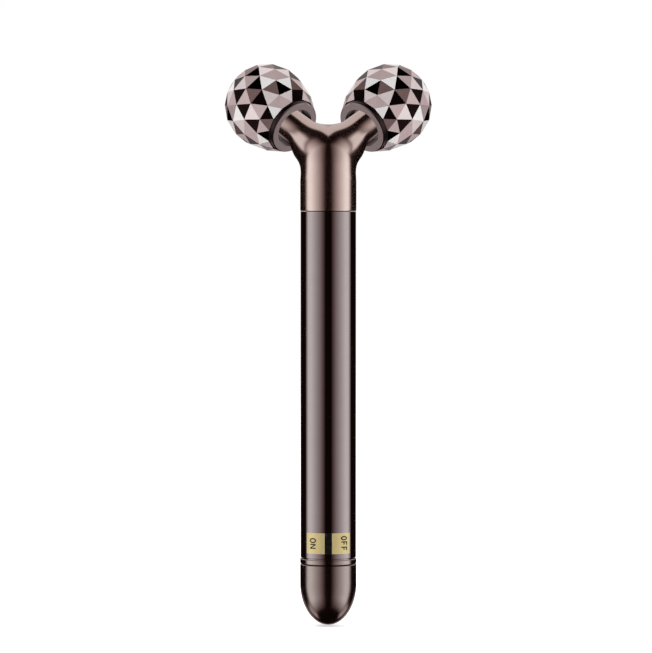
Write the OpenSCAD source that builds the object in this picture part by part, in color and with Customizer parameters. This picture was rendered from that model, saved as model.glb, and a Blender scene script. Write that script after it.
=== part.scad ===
// Facial toning roller. A Y-shaped fork carries two faceted balls that spin on fixed axles,
// a slim metal tube holds one AA cell, and a cap at the tail twists to switch the motor.
// Millimetres. +Z runs up the handle, the origin is on the handle's axis at the seam
// between head and tube, the front faces -Y, and left is -X.

/* [Handle tube] */
// Outside diameter of the tube
tube_d = 16.8; // [16.6:0.1:19]
// Wall of the tube
tube_wall = 0.7; // [0.5:0.05:0.75]
// Length of the tube
tube_len = 105.3; // [96:0.1:125]
// Break of the tube's end edges
tube_edge = 0.2; // [0.1:0.05:0.4]

/* [Switch label] */
// Height of the two label plates
label_h = 6.3; // [4:0.1:8]
// Bare tube between the label and the trim ring
label_drop = 1.7; // [1:0.1:4]
// Thickness of the label plates
label_t = 0.08; // [0.05:0.01:0.2]
// Half angle that the label covers, from the front
label_angle = 50; // [30:1:70]
// Half angle of the dark bar between the plates
bar_angle = 7.5; // [4:0.5:12]

/* [Trim ring and end cap] */
// Height of the trim ring's band
ring_h = 1.4; // [1:0.1:3]
// Groove above and below the band
groove_h = 0.3; // [0.2:0.05:0.5]
// How far ring and cap stand proud of the tube
cap_proud = 0.12; // [0.05:0.01:0.2]
// Straight part of the end cap
cap_straight = 5.9; // [4.8:0.1:12]
// Depth of the end cap's dome
cap_dome = 12.7; // [8.5:0.1:16]
// Wall of the end cap
cap_wall = 1.2; // [0.8:0.1:1.6]
// Twist of the cap from OFF to ON
twist = 70; // [40:1:85]

/* [Tail switch] */
// Length of the socket inside the tube
socket_len = 15; // [14:0.1:17]
// Wall of the socket round the cap's stem
socket_wall = 1.5; // [1.35:0.05:1.8]
// Thickness of the socket's floor under the spring
floor_t = 2.1; // [1.5:0.1:3]
// Thickness of the brass contacts
brass_t = 0.4; // [0.3:0.05:0.6]
// Half angle of each lug that stops the twist
lug_angle = 15; // [8:1:20]
// Height of the lugs
lug_h = 1.5; // [1:0.1:2]
// How far the lugs reach out of the stem
lug_reach = 0.78; // [0.5:0.02:0.85]
// Wire diameter of the battery spring
spring_wire = 0.8; // [0.5:0.05:1]
// Turns of the battery spring
spring_turns = 5; // [3:1:6]
// Length of the battery spring with the cell in place
spring_len = 10; // [7:0.1:14]
// Widest diameter of the spring, at the socket
spring_d = 9.6; // [8:0.1:11]
// Narrowest diameter of the spring, at the cell
spring_tip_d = 6; // [4:0.1:8]

/* [Battery] */
// Diameter of the AA cell
cell_d = 14.3; // [13.5:0.1:14.5]
// Length of the AA cell with its terminals
cell_len = 50.5; // [49:0.1:51]
// Diameter of the positive nub
nub_d = 5.5; // [4:0.1:6]
// Height of the positive nub
nub_h = 1; // [0.6:0.1:1.5]
// Diameter of the flat negative terminal
base_d = 9; // [7.2:0.1:10]
// Height of the negative terminal
base_h = 0.3; // [0.2:0.1:0.6]

/* [Head plug and motor] */
// Length of the plug's spigot inside the fork
spigot_len = 9; // [5:0.1:9.5]
// Wall of the fork's collar round the spigot
collar_wall = 1.5; // [1.3:0.05:2]
// How far the collar stands proud of the tube
collar_proud = 0.1; // [0:0.01:0.2]
// Section diameter of the head's O-ring
o_ring_d = 1.1; // [0.8:0.05:1.2]
// Section diameter of the cap's O-ring
cap_o_ring_d = 1; // [0.7:0.05:1.1]
// Diameter of the motor across its round sides
motor_d = 12; // [10:0.1:12]
// Width of the motor across its flat sides
motor_flat = 10; // [8:0.1:10]
// Length of the motor's steel can
motor_can_len = 13; // [10:0.1:13.5]
// Length of the motor's plastic end bell
motor_bell_len = 2; // [1:0.1:2.2]
// Room for terminals and leads between the motor and the contact carrier
terminal_room = 3; // [2.6:0.1:4]
// Diameter of the motor shaft
shaft_d = 1; // [0.8:0.05:1.5]
// Radius of the eccentric weight
weight_r = 4.4; // [3:0.1:4.8]
// Length of the eccentric weight
weight_len = 6; // [3:0.1:6.5]

/* [Fork] */
// Height above the seam where the arm axes meet
fork_z = 17.1; // [15.8:0.1:20]
// Lean of the fork back from the handle's axis
lean = 51; // [40:1:60]
// Angle of each arm from the middle of the fork
splay = 37.9; // [36:0.1:45]
// Radius of an arm at the meeting point
arm_root_r = 5.65; // [5.3:0.05:6.4]
// Radius of an arm at its end
arm_tip_r = 4.75; // [4.5:0.05:5.4]
// Length of an arm from the meeting point to its end face
arm_len = 20; // [19:0.1:26]
// Height to which the neck keeps the collar's full size
neck_z = 10; // [9.6:0.1:11]
// Reach of the blend between the arms
crotch_blend = 7; // [4:0.1:8]
// Reach of the blend between neck and arms
neck_blend = 4.6; // [3:0.1:6]

/* [Rollers] */
// Radius of the ball's sphere, on which its corners lie
ball_r = 13.1; // [12.6:0.05:14]
// Angle from one row of corners on the sphere to the next
row_step = 19.5; // [18:0.5:21]
// Facets round one row of the ball
facets = 14; // [12:1:16]
// Ball's centre beyond the arm's end face
ball_reach = 10.65; // [10.5:0.05:13]
// Outside diameter of the neck ring
neck_ring_d = 17; // [15.8:0.1:17.2]
// Hole of the neck ring, round the arm
neck_hole_d = 12.7; // [12.6:0.02:13.2]
// How far the ring stands out of the ball
neck_ring_h = 1.5; // [1:0.1:2.5]
// Wall of the ring's spigot inside the ball
ring_spigot_wall = 0.97; // [0.7:0.01:1.1]
// Outside diameter of the bush
bush_d = 9.2; // [7:0.1:10]
// Thickness of the bush's flange
flange_t = 0.6; // [0.4:0.1:1]

/* [Axles] */
// Diameter of the axle
axle_d = 4; // [3:0.1:5]
// Depth of the axle in the arm
axle_seat = 12; // [6:0.1:13]
// Length of the axle beyond the arm's end
axle_out = 17.15; // [14:0.05:17.5]
// Thickness of the thrust washer on the arm
thrust_t = 0.6; // [0.4:0.1:0.8]
// Diameter of the thrust washer
thrust_d = 8.8; // [6:0.1:10]
// Thickness of the washer at the axle's end
end_washer_t = 0.5; // [0.3:0.1:0.8]
// Thread diameter of the axle screw
screw_d = 1.6; // [1.2:0.1:2]
// Diameter of the axle screw's head
screw_head_d = 3.8; // [3:0.1:5]
// Height of the axle screw's head
screw_head_h = 0.9; // [0.6:0.1:1.1]
// Length of the axle screw under its head
screw_len = 5.6; // [3:0.1:8]

/* [Fits] */
// Radial clearance of the plug and ground ring in the tube
slide_clear = 0.08; // [0.03:0.01:0.1]
// Radial clearance of shafts and stems that turn
turn_clear = 0.06; // [0.02:0.01:0.1]
// Gap between faces that turn past each other
face_gap = 0.3; // [0.15:0.05:0.4]
// Gap between electric contacts that meet under spring force
contact_gap = 0.1; // [0.05:0.01:0.2]

/* [Hidden] */
$fn = 96;
eps = 0.01; // overrun of a cut past the face that it opens

// Radii, worked out from the tube
tube_r = tube_d / 2;
bore_r = tube_r - tube_wall;
collar_r = tube_r + collar_proud;
cap_r = tube_r + cap_proud;
spigot_r = collar_r - collar_wall;
plug_r = bore_r - slide_clear;
chamber_r = min(weight_r + 0.8, motor_d / 2 - 0.6);
weight_rim_r = min(weight_r, chamber_r - 0.3);
stem_bore_r = bore_r - socket_wall;
stem_r = stem_bore_r - turn_clear;
cap_bore_r = cap_r - cap_wall;

// Heights down the handle, from the seam
ring_top = -tube_len - groove_h;
ring_bottom = ring_top - ring_h;
cap_top = ring_bottom - groove_h;
dome_z = cap_top - cap_straight;
socket_top = -tube_len + socket_len;
floor_z = socket_top - floor_t;
spring_seat_z = socket_top + brass_t;
cell_bottom = spring_seat_z + spring_len + contact_gap;
cell_top = cell_bottom + cell_len;
contact_head_h = 0.6;
carrier_z = cell_top + contact_gap + contact_head_h;
carrier_t = 1.2;
plug_len = -carrier_z - carrier_t;
motor_bottom = -plug_len + terminal_room;
chamber_depth = -motor_bottom - motor_bell_len - motor_can_len;
pad_z = floor_z - brass_t;
wiper_top = pad_z - contact_gap;
bump_h = 0.7;
stem_top = wiper_top - bump_h - brass_t;
label_bottom = -tube_len + label_drop;
stem_o_ring_z = -tube_len + 3;
lug_z = floor_z - 5;

// Stations along an arm, from the point where the arm axes meet
flange_s = arm_len + thrust_t + face_gap;
bush_s = flange_s + flange_t;
axle_end_s = arm_len + axle_out;
bush_end_s = axle_end_s - face_gap / 2;
ball_s = arm_len + ball_reach;
blind_s = axle_end_s + end_washer_t + screw_head_h + face_gap;
bush_bore_r = axle_d / 2 + turn_clear;

// Rows of the ball's corners: [place along the axis toward the fork, radius]. Two rows draw in to the
// neck ring, in shares of ball_r, and the rest lie on the sphere, the last 31 degrees from its pole.
// Corners of every other row stand half a facet round, so that the faces are triangles.
mouth_share = 0.951;
last_row = 31;
ball_rows = ball_r * concat(
    [[mouth_share, 0.692], [0.695, 0.835]],
    [for (k = [4:-1:0]) let (a = last_row + k * row_step) [-cos(a), sin(a)]]
);
mouth_s = ball_s - mouth_share * ball_r;

function unit(v) = v / norm(v);
function arm_dir(side) = [side * sin(splay), cos(splay) * sin(lean), cos(splay) * cos(lean)];

// Turns a child's +Z from the meeting point out along an arm: side is -1 for left, 1 for right
module on_arm(side, s = 0) {
    translate([0, 0, fork_z]) rotate([-lean, 0, 0]) rotate([0, side * splay, 0])
        translate([0, 0, s]) children();
}
// Angle about an arm of the side that faces the front
function front_angle(side) = atan2(-cos(lean), side * sin(lean) * sin(splay));

module disc(r, z0, z1) translate([0, 0, z0]) cylinder(r = r, h = z1 - z0);
module washer(r_out, r_in, z0, z1) {
    difference() {
        disc(r_out, z0, z1);
        disc(r_in, z0 - eps, z1 + eps);
    }
}
module turned(profile) rotate_extrude() polygon(profile);
module o_ring(r, z, d) rotate_extrude() translate([r, z]) circle(d = d);
module sector(r_in, r_out, z0, z1, a0, a1) {
    rotate([0, 0, a0]) rotate_extrude(angle = a1 - a0)
        translate([r_in, z0]) square([r_out - r_in, z1 - z0]);
}

// ---- Fork: three limbs that flow into one another --------------------------------------

// Distance from a tapered rod, and the smooth union of two distances
function rod(p, a, b, ra, rb) =
    let (ab = b - a, t = max(0, min(1, (p - a) * ab / (ab * ab))))
    norm(p - a - t * ab) - ra - t * (rb - ra);
function blend(a, b, reach) =
    let (h = max(reach - abs(a - b), 0) / reach) min(a, b) - h * h * reach / 4;

hub = [0, 0, fork_z];
rod_len = arm_len + 4;
rod_tip_r = arm_root_r + (arm_tip_r - arm_root_r) * rod_len / arm_len;
function fork_distance(p) = blend(
    blend(rod(p, hub, hub + arm_dir(-1) * rod_len, arm_root_r, rod_tip_r),
          rod(p, hub, hub + arm_dir(1) * rod_len, arm_root_r, rod_tip_r), crotch_blend),
    rod(p, [0, 0, -collar_r], [0, 0, neck_z], collar_r, collar_r), neck_blend);

// Point of the skin on the ray from c along v, found by halving
function skin_point(c, v, near = 0, far = 16, steps = 17) =
    steps == 0 ? c + v * (near + far) / 2 :
    let (mid = (near + far) / 2)
    fork_distance(c + v * mid) > 0 ? skin_point(c, v, near, mid, steps - 1)
                                   : skin_point(c, v, mid, far, steps - 1);

limb_dirs = [[0, 0, -1], arm_dir(-1), arm_dir(1)]; // neck, left arm, right arm
limb_lens = [fork_z - neck_z, arm_len, arm_len];
limb_rows = [4, 14, 14];
half = 20; // steps along each of the three seams where two limbs meet
around = 2 * half;
pole = -unit(cross(limb_dirs[1] - limb_dirs[0], limb_dirs[2] - limb_dirs[0]));

// Seam k runs over the skin from the front pole to the back pole, between two limbs
seam_limbs = [[0, 1], [1, 2], [2, 0]];
function seam_dir(k, t) =
    let (v = limb_dirs[seam_limbs[k][0]] + limb_dirs[seam_limbs[k][1]], mid = unit(v - (v * pole) * pole))
    pole * cos(t) + mid * sin(t);
// The two seams that bound each limb, in the order that turns every limb the same way
limb_seams = [[0, 2], [1, 0], [2, 1]];

// Skin point of a limb at share u of the way from its seam point b to its end
function limb_point(limb, u, j, b) =
    let (d = limb_dirs[limb], e1 = unit(pole - (pole * d) * d), e2 = cross(d, e1),
         along = (b - hub) * d, out = unit(b - hub - along * d),
         turn = acos(max(-1, min(1, out * e1))), a0 = j <= half ? turn : 360 - turn,
         a = a0 + (360 * j / around - a0) * u)
    skin_point(hub + d * (along + (limb_lens[limb] - along) * u), e1 * cos(a) + e2 * sin(a));

// Places in the list of points: front pole, back pole, inner seam points, then each limb's rows
function seam_start(k) = 2 + k * (half - 1);
function limb_start(limb) =
    limb == 0 ? seam_start(3) : limb_start(limb - 1) + limb_rows[limb - 1] * around;
function index(limb, row, j0) =
    let (j = j0 % around)
    row > 0 ? limb_start(limb) + (row - 1) * around + j :
    j == 0 ? 0 : j == half ? 1 :
    j < half ? seam_start(limb_seams[limb][0]) + j - 1
             : seam_start(limb_seams[limb][1]) + around - j - 1;

module fork_limbs() {
    seams = [for (k = [0:2]) [for (i = [0:half]) skin_point(hub, seam_dir(k, 180 * i / half))]];
    function base(limb, j) =
        j <= half ? seams[limb_seams[limb][0]][j] : seams[limb_seams[limb][1]][around - j];
    points = concat(
        [seams[0][0], seams[0][half]],
        [for (k = [0:2], i = [1:half - 1]) seams[k][i]],
        [for (l = [0:2], row = [1:limb_rows[l]], j = [0:around - 1])
            limb_point(l, row / limb_rows[l], j, base(l, j))]
    );
    faces = concat(
        [for (l = [0:2], row = [0:limb_rows[l] - 1], j = [0:around - 1])
            [index(l, row, j), index(l, row + 1, j + 1), index(l, row, j + 1)]],
        [for (l = [0:2], row = [0:limb_rows[l] - 1], j = [0:around - 1])
            [index(l, row, j), index(l, row + 1, j), index(l, row + 1, j + 1)]],
        [for (l = [0:2]) [for (j = [around - 1:-1:0]) index(l, limb_rows[l], j)]]
    );
    polyhedron(points, faces, convexity = 6);
}

module fork() color("rosybrown") {
    difference() {
        union() {
            fork_limbs();
            turned([[0, 0], [collar_r - tube_edge, 0], [collar_r, tube_edge],
                    [collar_r, neck_z], [0, neck_z]]);
        }
        disc(spigot_r, -eps, spigot_len + 0.2);
        for (side = [-1, 1])
            on_arm(side) disc(axle_d / 2, arm_len - axle_seat, arm_len + eps);
    }
}

// ---- Head plug and motor ----------------------------------------------------------------

o_ring_r = bore_r - 0.05 - o_ring_d / 2;
o_ring_floor = o_ring_r - o_ring_d / 2;
o_ring_z = -4;
ground_floor = bore_r - 0.5;
ground_h = 2;
terminal_x = 0.3 * motor_d;
terminal_t = 0.4;
terminal_len = 1.8;
terminal_w = 1.6;
lead_d = 0.8;
lead_z = motor_bottom - terminal_len + 0.6;
ground_top = lead_z + ground_h / 2;
spigot_roof = 0.9;

module head_plug() color("gray") {
    difference() {
        union() {
            disc(plug_r, -plug_len, 0);
            disc(spigot_r, 0, spigot_len);
        }
        disc(motor_d / 2, -plug_len - eps, -chamber_depth);
        disc(chamber_r, -chamber_depth - eps, spigot_len - spigot_roof);
        washer(plug_r + 1, o_ring_floor, o_ring_z - 0.6 * o_ring_d, o_ring_z + 0.6 * o_ring_d);
        washer(plug_r + 1, ground_floor, ground_top - ground_h, ground_top);
        translate([0, 0, lead_z]) rotate([0, 90, 0]) cylinder(d = lead_d, h = plug_r + 1);
    }
}
module head_o_ring() color("black") o_ring(o_ring_r, o_ring_z, o_ring_d);
module ground_ring() color("gold")
    washer(bore_r - slide_clear, ground_floor, ground_top - ground_h, ground_top);
module contact_carrier() color("ivory") {
    difference() {
        union() {
            disc(plug_r, carrier_z, -plug_len);
            disc(motor_d / 2, -plug_len, -plug_len + 0.5);
        }
        disc(1, carrier_z - eps, -plug_len + 1);
    }
}
module battery_contact() color("gold") {
    turned([[0, carrier_z - contact_head_h], [2.6, carrier_z - contact_head_h], [3, carrier_z - 0.2],
            [3, carrier_z], [1, carrier_z], [1, lead_z + lead_d / 2], [0, lead_z + lead_d / 2]]);
}
module motor_outline(z0, z1) {
    intersection() {
        disc(motor_d / 2, z0, z1);
        translate([-motor_d, -motor_flat / 2, z0]) cube([2 * motor_d, motor_flat, z1 - z0]);
    }
}
shaft_seat = 8;
boss_h = 0.8;
module motor_can() color("silver") {
    difference() {
        union() {
            motor_outline(-chamber_depth - motor_can_len, -chamber_depth);
            disc(2, -chamber_depth, -chamber_depth + boss_h);
        }
        disc(shaft_d / 2 + turn_clear, -chamber_depth - shaft_seat - face_gap, -chamber_depth + boss_h + eps);
    }
}
module motor_end_bell() color("white") motor_outline(motor_bottom, motor_bottom + motor_bell_len);
module motor_terminals() color("gold") {
    for (side = [-1, 1])
        translate([side * terminal_x - terminal_t / 2, -terminal_w / 2, motor_bottom - terminal_len])
            cube([terminal_t, terminal_w, terminal_len]);
}
module lead_along_x(x0, x1) translate([x0, 0, lead_z]) rotate([0, 90, 0]) cylinder(d = lead_d, h = x1 - x0);
module positive_lead() color("red") {
    difference() {
        lead_along_x(-terminal_x + terminal_t / 2, 0);
        disc(1, lead_z - 1, lead_z + 1);
    }
}
module ground_lead() color("black") {
    intersection() {
        lead_along_x(terminal_x + terminal_t / 2, plug_r);
        disc(ground_floor, lead_z - 1, lead_z + 1);
    }
}
weight_z = -chamber_depth + boss_h + 0.6;
module motor_shaft() color("silver") disc(shaft_d / 2, -chamber_depth - shaft_seat, weight_z + weight_len);
module eccentric_weight() color("dimgray") {
    difference() {
        union() {
            sector(0, weight_rim_r, weight_z, weight_z + weight_len, 180, 360);
            disc(shaft_d / 2 + 1, weight_z, weight_z + weight_len);
        }
        disc(shaft_d / 2, weight_z - eps, weight_z + weight_len + eps);
    }
}

// ---- Axles -------------------------------------------------------------------------------

screw_hole_s = axle_end_s + end_washer_t - screw_len;
module axle(side) color("silver") on_arm(side) {
    difference() {
        disc(axle_d / 2, arm_len - axle_seat, axle_end_s);
        disc(screw_d / 2, screw_hole_s, axle_end_s + eps);
    }
}
module thrust_washer(side) color("ivory") on_arm(side)
    washer(thrust_d / 2, axle_d / 2, arm_len, arm_len + thrust_t);
module end_washer(side) color("silver") on_arm(side)
    washer(bush_d / 2 - face_gap, screw_d / 2, axle_end_s, axle_end_s + end_washer_t);
module axle_screw(side) color("dimgray") on_arm(side, axle_end_s + end_washer_t) {
    difference() {
        union() {
            disc(screw_d / 2, -screw_len, 0);
            disc(screw_head_d / 2, 0, screw_head_h);
        }
        for (a = [0, 90])
            rotate([0, 0, a]) translate([-0.35 * screw_head_d, -0.2, screw_head_h / 2])
                cube([0.7 * screw_head_d, 0.4, screw_head_h]);
    }
}

// ---- Rollers -----------------------------------------------------------------------------

// The diamond-cut ball: rows of corners joined by triangles, closed by a pole at its outer end
module ball() {
    rows = len(ball_rows);
    pitch = 360 / facets;
    function corner(k, i) =
        let (a = pitch * (i + (k % 2 == 0 ? 0.5 : 0)), r = ball_rows[k][1])
        [r * cos(a), r * sin(a), -ball_rows[k][0]];
    function at(k, i) = k * facets + (i + facets) % facets;
    points = concat(
        [for (k = [0:rows - 1], i = [0:facets - 1]) corner(k, i)],
        [[0, 0, ball_r]]
    );
    // A row with a half step has its corner i between corners i and i + 1 of the next row
    faces = concat(
        [[for (i = [0:facets - 1]) at(0, i)]],
        [for (k = [0:rows - 2], i = [0:facets - 1])
            k % 2 == 0 ? [at(k, i), at(k + 1, i), at(k + 1, i + 1)]
                       : [at(k, i), at(k + 1, i - 1), at(k + 1, i)]],
        [for (k = [0:rows - 2], i = [0:facets - 1])
            k % 2 == 0 ? [at(k, i), at(k + 1, i + 1), at(k, i + 1)]
                       : [at(k, i), at(k + 1, i), at(k, i + 1)]],
        [for (i = [0:facets - 1]) [at(rows - 1, i), rows * facets, at(rows - 1, i + 1)]]
    );
    polyhedron(points, faces, convexity = 4);
}
ring_spigot_r = neck_hole_d / 2 + ring_spigot_wall;
module roller_shell(side) color("thistle") {
    difference() {
        on_arm(side, ball_s) rotate([0, 0, front_angle(side)]) ball();
        on_arm(side) {
            disc(ring_spigot_r, mouth_s - eps, bush_s);
            disc(bush_d / 2, bush_s - eps, blind_s);
        }
    }
}
ring_edge = 0.3;
module roller_ring(side) color("gray") on_arm(side) {
    r = neck_ring_d / 2;
    top = mouth_s - neck_ring_h;
    turned([[neck_hole_d / 2, top], [r - ring_edge, top], [r, top + ring_edge], [r, mouth_s],
            [ring_spigot_r, mouth_s], [ring_spigot_r, bush_s], [neck_hole_d / 2, bush_s]]);
}
module roller_bush(side) color("ivory") on_arm(side) {
    difference() {
        union() {
            disc(neck_hole_d / 2 - face_gap, flange_s, bush_s);
            disc(bush_d / 2, bush_s, bush_end_s);
        }
        disc(bush_bore_r, flange_s - eps, bush_end_s + eps);
    }
}

// ---- Handle ------------------------------------------------------------------------------

module handle_tube() color("dimgray") {
    e = tube_edge;
    turned([[bore_r, 0], [tube_r - e, 0], [tube_r, -e], [tube_r, -tube_len + e],
            [tube_r - e, -tube_len], [bore_r, -tube_len]]);
}
module trim_ring() color("rosybrown") {
    e = tube_edge / 2;
    turned([[bore_r, -tube_len], [tube_r - groove_h, -tube_len], [tube_r - groove_h, ring_top],
            [cap_r - e, ring_top], [cap_r, ring_top - e], [cap_r, ring_bottom + e],
            [cap_r - e, ring_bottom], [bore_r, ring_bottom]]);
}
module label_strip(a0, a1, t)
    sector(tube_r, tube_r + t, label_bottom, label_bottom + label_h, a0 - 90, a1 - 90);
module label_plates() color("khaki") {
    label_strip(-label_angle, -bar_angle, label_t);
    label_strip(bar_angle, label_angle, label_t);
}
module label_bar() color("black") label_strip(-bar_angle, bar_angle, label_t);
module battery_cell() color("green") {
    e = 0.4;
    r = cell_d / 2;
    z0 = cell_bottom + base_h;
    z1 = cell_top - nub_h;
    turned([[0, z0], [r - e, z0], [r, z0 + e], [r, z1 - e], [r - e, z1], [0, z1]]);
}
module battery_terminals() color("silver") {
    disc(nub_d / 2, cell_top - nub_h, cell_top);
    disc(base_d / 2, cell_bottom, cell_bottom + base_h);
}

// The conical battery spring: one wire of round section, wound by formula
module tail_spring() {
    sides = 6;
    steps = 14 * spring_turns;
    wire_r = spring_wire / 2;
    z0 = spring_seat_z + wire_r;
    z1 = cell_bottom - contact_gap - wire_r;
    // The first and the last turn lie flat, and the turns between them rise
    function rise(t) = max(0, min(1, (t * spring_turns - 0.75) / (spring_turns - 1.5)));
    function centre_r(t) = (spring_d + (spring_tip_d - spring_d) * t - spring_wire) / 2;
    points = [
        for (i = [0:steps], k = [0:sides - 1])
            let (t = i / steps, a = 360 * spring_turns * t, w = 360 * (k + 0.5) / sides,
                 r = centre_r(t) + wire_r * cos(w))
            [r * cos(a), r * sin(a), z0 + (z1 - z0) * rise(t) + wire_r * sin(w)]
    ];
    function at(i, k) = i * sides + k % sides;
    faces = concat(
        [[for (k = [0:sides - 1]) at(0, k)], [for (k = [sides - 1:-1:0]) at(steps, k)]],
        [for (i = [0:steps - 1], k = [0:sides - 1]) [at(i, k), at(i + 1, k), at(i + 1, k + 1)]],
        [for (i = [0:steps - 1], k = [0:sides - 1]) [at(i, k), at(i + 1, k + 1), at(i, k + 1)]]
    );
    color("silver") polyhedron(points, faces, convexity = 8);
}
rivet_r = 1.5;
module spring_plate() color("gold") {
    disc(spring_d / 2 + 0.4, socket_top, spring_seat_z);
    disc(rivet_r, floor_z, socket_top);
    disc(rivet_r + 0.5, pad_z, floor_z);
}
pad_angle = -twist / 2;
pad_w = 2.4;
pad_inner = 3;
module pad_bar(w, r_out) rotate([0, 0, pad_angle]) {
    intersection() {
        translate([pad_inner, -w / 2, pad_z]) cube([r_out, w, brass_t]);
        disc(r_out, pad_z, floor_z);
    }
}
module tube_contact() color("gold") pad_bar(pad_w, bore_r);
lug_starts = [0, 180];
module tail_socket() color("ivory") {
    difference() {
        disc(bore_r, ring_bottom, socket_top);
        disc(stem_bore_r, ring_bottom - eps, floor_z);
        disc(rivet_r, floor_z - eps, socket_top + eps);
        pad_bar(pad_w, bore_r + 1);
        for (a = lug_starts)
            sector(stem_bore_r - 0.2, stem_r + lug_reach + 0.2, lug_z - face_gap, lug_z + lug_h + face_gap,
                   a - twist - lug_angle - 1, a + lug_angle + 1);
    }
}

// ---- End cap -----------------------------------------------------------------------------

// Quarter ellipse from the rim down to the tip
function dome(r, depth, z, steps = 36) =
    [for (i = [0:steps]) let (a = 90 * i / steps) [r * cos(a), z - depth * sin(a)]];
module end_cap() color("rosybrown") {
    e = tube_edge / 2;
    hollow = dome(cap_bore_r, cap_dome - cap_wall, dome_z);
    turned(concat(
        [[cap_bore_r, cap_top], [cap_r - e, cap_top], [cap_r, cap_top - e]],
        dome(cap_r, cap_dome, dome_z),
        [for (i = [len(hollow) - 1:-1:0]) hollow[i]]
    ));
}
core_depth = 4;
stem_o_ring_r = stem_bore_r - 0.03 - cap_o_ring_d / 2;
stem_floor = stem_o_ring_r - cap_o_ring_d / 2;
module cap_core() color("gray") {
    difference() {
        union() {
            disc(cap_bore_r, cap_top - core_depth, cap_top);
            disc(stem_r, cap_top, stem_top);
            for (a = lug_starts)
                sector(stem_r - 0.5, stem_r + lug_reach, lug_z, lug_z + lug_h, a - lug_angle, a + lug_angle);
        }
        washer(stem_r + 0.2, stem_floor,
               stem_o_ring_z - 0.6 * cap_o_ring_d, stem_o_ring_z + 0.6 * cap_o_ring_d);
    }
}
module cap_o_ring() color("black") o_ring(stem_o_ring_r, stem_o_ring_z, cap_o_ring_d);
finger_r = 0.7;
finger_x = 4.2;
module cap_wiper() color("gold") {
    disc(stem_r - 0.6, stem_top, stem_top + brass_t);
    disc(rivet_r, stem_top, wiper_top);
    rotate([0, 0, pad_angle + twist]) translate([finger_x, 0, 0]) disc(finger_r, stem_top, wiper_top);
}

fork();
head_plug();
head_o_ring();
ground_ring();
contact_carrier();
battery_contact();
motor_can();
motor_end_bell();
motor_terminals();
positive_lead();
ground_lead();
motor_shaft();
eccentric_weight();
axle(-1);  // left_axle
thrust_washer(-1);  // left_thrust_washer
end_washer(-1);  // left_end_washer
axle_screw(-1);  // left_axle_screw
axle(1);  // right_axle
thrust_washer(1);  // right_thrust_washer
end_washer(1);  // right_end_washer
axle_screw(1);  // right_axle_screw
roller_shell(-1);  // left_roller_shell
roller_ring(-1);  // left_roller_ring
roller_bush(-1);  // left_roller_bush
roller_shell(1);  // right_roller_shell
roller_ring(1);  // right_roller_ring
roller_bush(1);  // right_roller_bush
handle_tube();
trim_ring();
label_plates();
label_bar();
battery_cell();
battery_terminals();
tail_spring();
spring_plate();
tail_socket();
tube_contact();
end_cap();
cap_core();
cap_o_ring();
cap_wiper();
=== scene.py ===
import math

import bpy
import numpy as np
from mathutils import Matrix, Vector


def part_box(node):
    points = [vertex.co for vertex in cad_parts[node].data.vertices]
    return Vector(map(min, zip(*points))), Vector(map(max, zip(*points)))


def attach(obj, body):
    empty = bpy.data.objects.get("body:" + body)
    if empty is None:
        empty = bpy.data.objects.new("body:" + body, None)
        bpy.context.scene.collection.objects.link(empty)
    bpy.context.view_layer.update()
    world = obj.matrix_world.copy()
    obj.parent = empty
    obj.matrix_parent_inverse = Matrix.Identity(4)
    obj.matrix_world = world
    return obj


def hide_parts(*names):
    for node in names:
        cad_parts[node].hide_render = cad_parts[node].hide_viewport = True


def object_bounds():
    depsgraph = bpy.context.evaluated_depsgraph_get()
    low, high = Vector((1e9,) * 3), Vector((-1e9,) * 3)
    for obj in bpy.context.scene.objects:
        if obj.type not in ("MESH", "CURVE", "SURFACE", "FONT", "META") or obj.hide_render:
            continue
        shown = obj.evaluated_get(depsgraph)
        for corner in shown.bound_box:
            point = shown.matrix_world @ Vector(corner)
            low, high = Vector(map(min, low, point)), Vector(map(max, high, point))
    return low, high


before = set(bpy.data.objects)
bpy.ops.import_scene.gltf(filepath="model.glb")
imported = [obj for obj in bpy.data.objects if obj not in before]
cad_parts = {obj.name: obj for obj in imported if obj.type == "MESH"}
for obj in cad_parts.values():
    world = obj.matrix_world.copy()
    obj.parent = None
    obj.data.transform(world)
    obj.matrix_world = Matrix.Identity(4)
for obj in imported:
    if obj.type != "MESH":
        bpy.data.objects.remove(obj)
cad_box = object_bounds()

MM = 0.001


# ---- Small helpers for meshes and nodes ------------------------------------------------------


def mm_box(node):
    """Lowest and highest corner of a CAD node, in millimetres."""
    low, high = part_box(node)
    return np.array(low) / MM, np.array(high) / MM


def mesh_piece(name, points_mm, faces, body, smooth_angle=35.0):
    """A new piece from points in millimetres, smooth-shaded and on its body."""
    mesh = bpy.data.meshes.new(name)
    mesh.from_pydata([tuple(p * MM) for p in np.asarray(points_mm, float)], [], faces)
    mesh.validate()
    mesh.update()
    piece = bpy.data.objects.new(name, mesh)
    bpy.context.scene.collection.objects.link(piece)
    soften(piece, smooth_angle)
    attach(piece, body)
    return piece


def soften(piece, angle):
    """Smooth shading, with edges sharper than the angle kept crisp."""
    piece.data.shade_smooth()
    piece.data.set_sharp_from_angle(angle=math.radians(angle))


def put(tree, kind, values=None, **settings):
    """A node with its settings, and its inputs given as numbers or as other nodes' sockets."""
    node = tree.nodes.new(kind)
    for key, value in settings.items():
        setattr(node, key, value)
    for key, value in (values or {}).items():
        if isinstance(value, bpy.types.NodeSocket):
            tree.links.new(value, node.inputs[key])
        else:
            node.inputs[key].default_value = value
    return node


def math_of(tree, operation, *values, clamp=False):
    """The result of one Math node."""
    node = put(tree, "ShaderNodeMath", dict(enumerate(values)), operation=operation)
    node.use_clamp = clamp
    return node.outputs[0]


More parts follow.
